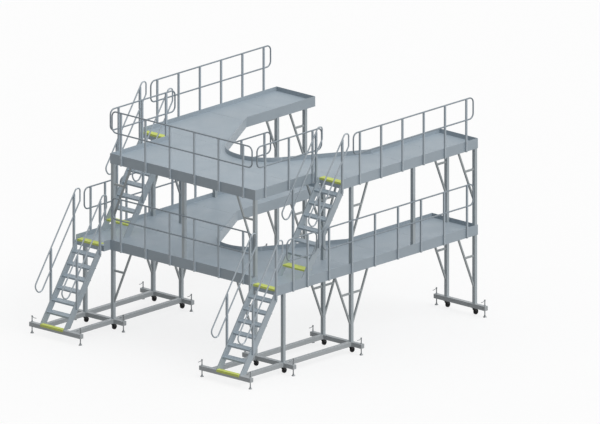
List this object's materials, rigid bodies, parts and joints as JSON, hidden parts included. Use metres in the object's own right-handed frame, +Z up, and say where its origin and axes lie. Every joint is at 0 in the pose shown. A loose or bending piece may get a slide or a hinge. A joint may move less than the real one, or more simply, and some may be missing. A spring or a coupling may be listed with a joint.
{
  "type": "aircraft nose dock",
  "caption": "Two-deck steel access dock with nose cut-outs, guard rails and stairs, on swivel casters and screw jacks, that stands round an aircraft's nose.",
  "frame": {"origin": "centre of the footprint's bounding box, at floor level under the feet and wheels", "axes": "+Y runs from the closed front with the lower stairs to the open rear where the fuselage passes; +Z is up; +X is to the right of someone who stands at the front and looks along +Y"},
  "size_m": [6.595, 7.8936, 5.0859],
  "materials": {
    "frame_paint": "satin grey paint",
    "deck_plate": "satin blue-grey paint on tread plate",
    "rail_paint": "satin light grey paint",
    "yellow_paint": "matt yellow-green non-slip paint",
    "zinc": "zinc plated",
    "jack_steel": "dark oiled steel",
    "caster_rubber": "matt black rubber"
  },
  "bodies": {
    "dock_frame": {"base_cross_beams": "frame_paint", "base_long_rails": "frame_paint", "jack_sleeves": "frame_paint", "caster_plates": "zinc", "columns": "frame_paint", "knee_braces": "frame_paint", "deck_joists": "frame_paint", "lower_deck_panels": "deck_plate", "upper_deck_panels": "deck_plate", "lower_edge_boards": "frame_paint", "upper_edge_boards": "frame_paint", "nose_boards": "frame_paint", "lower_guard_rails": "rail_paint", "upper_guard_rails": "rail_paint", "guard_posts": "rail_paint", "stair_stringers": "frame_paint", "stair_treads": "deck_plate", "stair_nosings": "yellow_paint", "stair_handrails": "rail_paint", "handrail_posts": "rail_paint"},
    "caster_fork_front_left_inner": {"caster_fork_front_left_inner": "zinc"},
    "caster_wheel_front_left_inner": {"caster_wheel_front_left_inner": "caster_rubber"},
    "caster_fork_front_left_outer": {"caster_fork_front_left_outer": "zinc"},
    "caster_wheel_front_left_outer": {"caster_wheel_front_left_outer": "caster_rubber"},
    "caster_fork_front_right_inner": {"caster_fork_front_right_inner": "zinc"},
    "caster_wheel_front_right_inner": {"caster_wheel_front_right_inner": "caster_rubber"},
    "caster_fork_front_right_outer": {"caster_fork_front_right_outer": "zinc"},
    "caster_wheel_front_right_outer": {"caster_wheel_front_right_outer": "caster_rubber"},
    "caster_fork_middle_left_inner": {"caster_fork_middle_left_inner": "zinc"},
    "caster_wheel_middle_left_inner": {"caster_wheel_middle_left_inner": "caster_rubber"},
    "caster_fork_middle_left_outer": {"caster_fork_middle_left_outer": "zinc"},
    "caster_wheel_middle_left_outer": {"caster_wheel_middle_left_outer": "caster_rubber"},
    "caster_fork_middle_right_inner": {"caster_fork_middle_right_inner": "zinc"},
    "caster_wheel_middle_right_inner": {"caster_wheel_middle_right_inner": "caster_rubber"},
    "caster_fork_middle_right_outer": {"caster_fork_middle_right_outer": "zinc"},
    "caster_wheel_middle_right_outer": {"caster_wheel_middle_right_outer": "caster_rubber"},
    "caster_fork_rear_left_inner": {"caster_fork_rear_left_inner": "zinc"},
    "caster_wheel_rear_left_inner": {"caster_wheel_rear_left_inner": "caster_rubber"},
    "caster_fork_rear_left_outer": {"caster_fork_rear_left_outer": "zinc"},
    "caster_wheel_rear_left_outer": {"caster_wheel_rear_left_outer": "caster_rubber"},
    "caster_fork_rear_right_inner": {"caster_fork_rear_right_inner": "zinc"},
    "caster_wheel_rear_right_inner": {"caster_wheel_rear_right_inner": "caster_rubber"},
    "caster_fork_rear_right_outer": {"caster_fork_rear_right_outer": "zinc"},
    "caster_wheel_rear_right_outer": {"caster_wheel_rear_right_outer": "caster_rubber"},
    "jack_stair_left_inner": {"jack_stair_left_inner": "jack_steel"},
    "jack_stair_left_outer": {"jack_stair_left_outer": "jack_steel"},
    "jack_stair_right_inner": {"jack_stair_right_inner": "jack_steel"},
    "jack_stair_right_outer": {"jack_stair_right_outer": "jack_steel"},
    "jack_front_left_inner": {"jack_front_left_inner": "jack_steel"},
    "jack_front_left_outer": {"jack_front_left_outer": "jack_steel"},
    "jack_front_right_inner": {"jack_front_right_inner": "jack_steel"},
    "jack_front_right_outer": {"jack_front_right_outer": "jack_steel"},
    "jack_middle_left_inner": {"jack_middle_left_inner": "jack_steel"},
    "jack_middle_left_outer": {"jack_middle_left_outer": "jack_steel"},
    "jack_middle_right_inner": {"jack_middle_right_inner": "jack_steel"},
    "jack_middle_right_outer": {"jack_middle_right_outer": "jack_steel"},
    "jack_rear_left_inner": {"jack_rear_left_inner": "jack_steel"},
    "jack_rear_left_outer": {"jack_rear_left_outer": "jack_steel"},
    "jack_rear_right_inner": {"jack_rear_right_inner": "jack_steel"},
    "jack_rear_right_outer": {"jack_rear_right_outer": "jack_steel"}
  },
  "joints": [
    {"name": "caster_swivel_front_left_inner", "type": "hinge", "parent": "dock_frame", "child": "caster_fork_front_left_inner", "pos_m": [-2.115, -2.38173, 0.15], "axis": [0, 0, 1], "continuous": true},
    {"name": "caster_roll_front_left_inner", "type": "hinge", "parent": "caster_fork_front_left_inner", "child": "caster_wheel_front_left_inner", "pos_m": [-2.115, -2.34573, 0.0625], "axis": [1, 0, 0], "continuous": true},
    {"name": "caster_swivel_front_left_outer", "type": "hinge", "parent": "dock_frame", "child": "caster_fork_front_left_outer", "pos_m": [-2.95, -2.38173, 0.15], "axis": [0, 0, 1], "continuous": true},
    {"name": "caster_roll_front_left_outer", "type": "hinge", "parent": "caster_fork_front_left_outer", "child": "caster_wheel_front_left_outer", "pos_m": [-2.95, -2.34573, 0.0625], "axis": [1, 0, 0], "continuous": true},
    {"name": "caster_swivel_front_right_inner", "type": "hinge", "parent": "dock_frame", "child": "caster_fork_front_right_inner", "pos_m": [2.115, -2.38173, 0.15], "axis": [0, 0, 1], "continuous": true},
    {"name": "caster_roll_front_right_inner", "type": "hinge", "parent": "caster_fork_front_right_inner", "child": "caster_wheel_front_right_inner", "pos_m": [2.115, -2.34573, 0.0625], "axis": [1, 0, 0], "continuous": true},
    {"name": "caster_swivel_front_right_outer", "type": "hinge", "parent": "dock_frame", "child": "caster_fork_front_right_outer", "pos_m": [2.95, -2.38173, 0.15], "axis": [0, 0, 1], "continuous": true},
    {"name": "caster_roll_front_right_outer", "type": "hinge", "parent": "caster_fork_front_right_outer", "child": "caster_wheel_front_right_outer", "pos_m": [2.95, -2.34573, 0.0625], "axis": [1, 0, 0], "continuous": true},
    {"name": "caster_swivel_middle_left_inner", "type": "hinge", "parent": "dock_frame", "child": "caster_fork_middle_left_inner", "pos_m": [-2.115, -0.17173, 0.15], "axis": [0, 0, 1], "continuous": true},
    {"name": "caster_roll_middle_left_inner", "type": "hinge", "parent": "caster_fork_middle_left_inner", "child": "caster_wheel_middle_left_inner", "pos_m": [-2.115, -0.13573, 0.0625], "axis": [1, 0, 0], "continuous": true},
    {"name": "caster_swivel_middle_left_outer", "type": "hinge", "parent": "dock_frame", "child": "caster_fork_middle_left_outer", "pos_m": [-2.95, -0.17173, 0.15], "axis": [0, 0, 1], "continuous": true},
    {"name": "caster_roll_middle_left_outer", "type": "hinge", "parent": "caster_fork_middle_left_outer", "child": "caster_wheel_middle_left_outer", "pos_m": [-2.95, -0.13573, 0.0625], "axis": [1, 0, 0], "continuous": true},
    {"name": "caster_swivel_middle_right_inner", "type": "hinge", "parent": "dock_frame", "child": "caster_fork_middle_right_inner", "pos_m": [2.115, -0.17173, 0.15], "axis": [0, 0, 1], "continuous": true},
    {"name": "caster_roll_middle_right_inner", "type": "hinge", "parent": "caster_fork_middle_right_inner", "child": "caster_wheel_middle_right_inner", "pos_m": [2.115, -0.13573, 0.0625], "axis": [1, 0, 0], "continuous": true},
    {"name": "caster_swivel_middle_right_outer", "type": "hinge", "parent": "dock_frame", "child": "caster_fork_middle_right_outer", "pos_m": [2.95, -0.17173, 0.15], "axis": [0, 0, 1], "continuous": true},
    {"name": "caster_roll_middle_right_outer", "type": "hinge", "parent": "caster_fork_middle_right_outer", "child": "caster_wheel_middle_right_outer", "pos_m": [2.95, -0.13573, 0.0625], "axis": [1, 0, 0], "continuous": true},
    {"name": "caster_swivel_rear_left_inner", "type": "hinge", "parent": "dock_frame", "child": "caster_fork_rear_left_inner", "pos_m": [-2.115, 3.84827, 0.15], "axis": [0, 0, 1], "continuous": true},
    {"name": "caster_roll_rear_left_inner", "type": "hinge", "parent": "caster_fork_rear_left_inner", "child": "caster_wheel_rear_left_inner", "pos_m": [-2.115, 3.88427, 0.0625], "axis": [1, 0, 0], "continuous": true},
    {"name": "caster_swivel_rear_left_outer", "type": "hinge", "parent": "dock_frame", "child": "caster_fork_rear_left_outer", "pos_m": [-2.95, 3.84827, 0.15], "axis": [0, 0, 1], "continuous": true},
    {"name": "caster_roll_rear_left_outer", "type": "hinge", "parent": "caster_fork_rear_left_outer", "child": "caster_wheel_rear_left_outer", "pos_m": [-2.95, 3.88427, 0.0625], "axis": [1, 0, 0], "continuous": true},
    {"name": "caster_swivel_rear_right_inner", "type": "hinge", "parent": "dock_frame", "child": "caster_fork_rear_right_inner", "pos_m": [2.115, 3.84827, 0.15], "axis": [0, 0, 1], "continuous": true},
    {"name": "caster_roll_rear_right_inner", "type": "hinge", "parent": "caster_fork_rear_right_inner", "child": "caster_wheel_rear_right_inner", "pos_m": [2.115, 3.88427, 0.0625], "axis": [1, 0, 0], "continuous": true},
    {"name": "caster_swivel_rear_right_outer", "type": "hinge", "parent": "dock_frame", "child": "caster_fork_rear_right_outer", "pos_m": [2.95, 3.84827, 0.15], "axis": [0, 0, 1], "continuous": true},
    {"name": "caster_roll_rear_right_outer", "type": "hinge", "parent": "caster_fork_rear_right_outer", "child": "caster_wheel_rear_right_outer", "pos_m": [2.95, 3.88427, 0.0625], "axis": [1, 0, 0], "continuous": true},
    {"name": "jack_lift_stair_left_inner", "type": "slide", "parent": "dock_frame", "child": "jack_stair_left_inner", "axis": [0, 0, 1], "range_m": [0, 0.1]},
    {"name": "jack_lift_stair_left_outer", "type": "slide", "parent": "dock_frame", "child": "jack_stair_left_outer", "axis": [0, 0, 1], "range_m": [0, 0.1]},
    {"name": "jack_lift_stair_right_inner", "type": "slide", "parent": "dock_frame", "child": "jack_stair_right_inner", "axis": [0, 0, 1], "range_m": [0, 0.1]},
    {"name": "jack_lift_stair_right_outer", "type": "slide", "parent": "dock_frame", "child": "jack_stair_right_outer", "axis": [0, 0, 1], "range_m": [0, 0.1]},
    {"name": "jack_lift_front_left_inner", "type": "slide", "parent": "dock_frame", "child": "jack_front_left_inner", "axis": [0, 0, 1], "range_m": [0, 0.1]},
    {"name": "jack_lift_front_left_outer", "type": "slide", "parent": "dock_frame", "child": "jack_front_left_outer", "axis": [0, 0, 1], "range_m": [0, 0.1]},
    {"name": "jack_lift_front_right_inner", "type": "slide", "parent": "dock_frame", "child": "jack_front_right_inner", "axis": [0, 0, 1], "range_m": [0, 0.1]},
    {"name": "jack_lift_front_right_outer", "type": "slide", "parent": "dock_frame", "child": "jack_front_right_outer", "axis": [0, 0, 1], "range_m": [0, 0.1]},
    {"name": "jack_lift_middle_left_inner", "type": "slide", "parent": "dock_frame", "child": "jack_middle_left_inner", "axis": [0, 0, 1], "range_m": [0, 0.1]},
    {"name": "jack_lift_middle_left_outer", "type": "slide", "parent": "dock_frame", "child": "jack_middle_left_outer", "axis": [0, 0, 1], "range_m": [0, 0.1]},
    {"name": "jack_lift_middle_right_inner", "type": "slide", "parent": "dock_frame", "child": "jack_middle_right_inner", "axis": [0, 0, 1], "range_m": [0, 0.1]},
    {"name": "jack_lift_middle_right_outer", "type": "slide", "parent": "dock_frame", "child": "jack_middle_right_outer", "axis": [0, 0, 1], "range_m": [0, 0.1]},
    {"name": "jack_lift_rear_left_inner", "type": "slide", "parent": "dock_frame", "child": "jack_rear_left_inner", "axis": [0, 0, 1], "range_m": [0, 0.1]},
    {"name": "jack_lift_rear_left_outer", "type": "slide", "parent": "dock_frame", "child": "jack_rear_left_outer", "axis": [0, 0, 1], "range_m": [0, 0.1]},
    {"name": "jack_lift_rear_right_inner", "type": "slide", "parent": "dock_frame", "child": "jack_rear_right_inner", "axis": [0, 0, 1], "range_m": [0, 0.1]},
    {"name": "jack_lift_rear_right_outer", "type": "slide", "parent": "dock_frame", "child": "jack_rear_right_outer", "axis": [0, 0, 1], "range_m": [0, 0.1]}
  ]
}
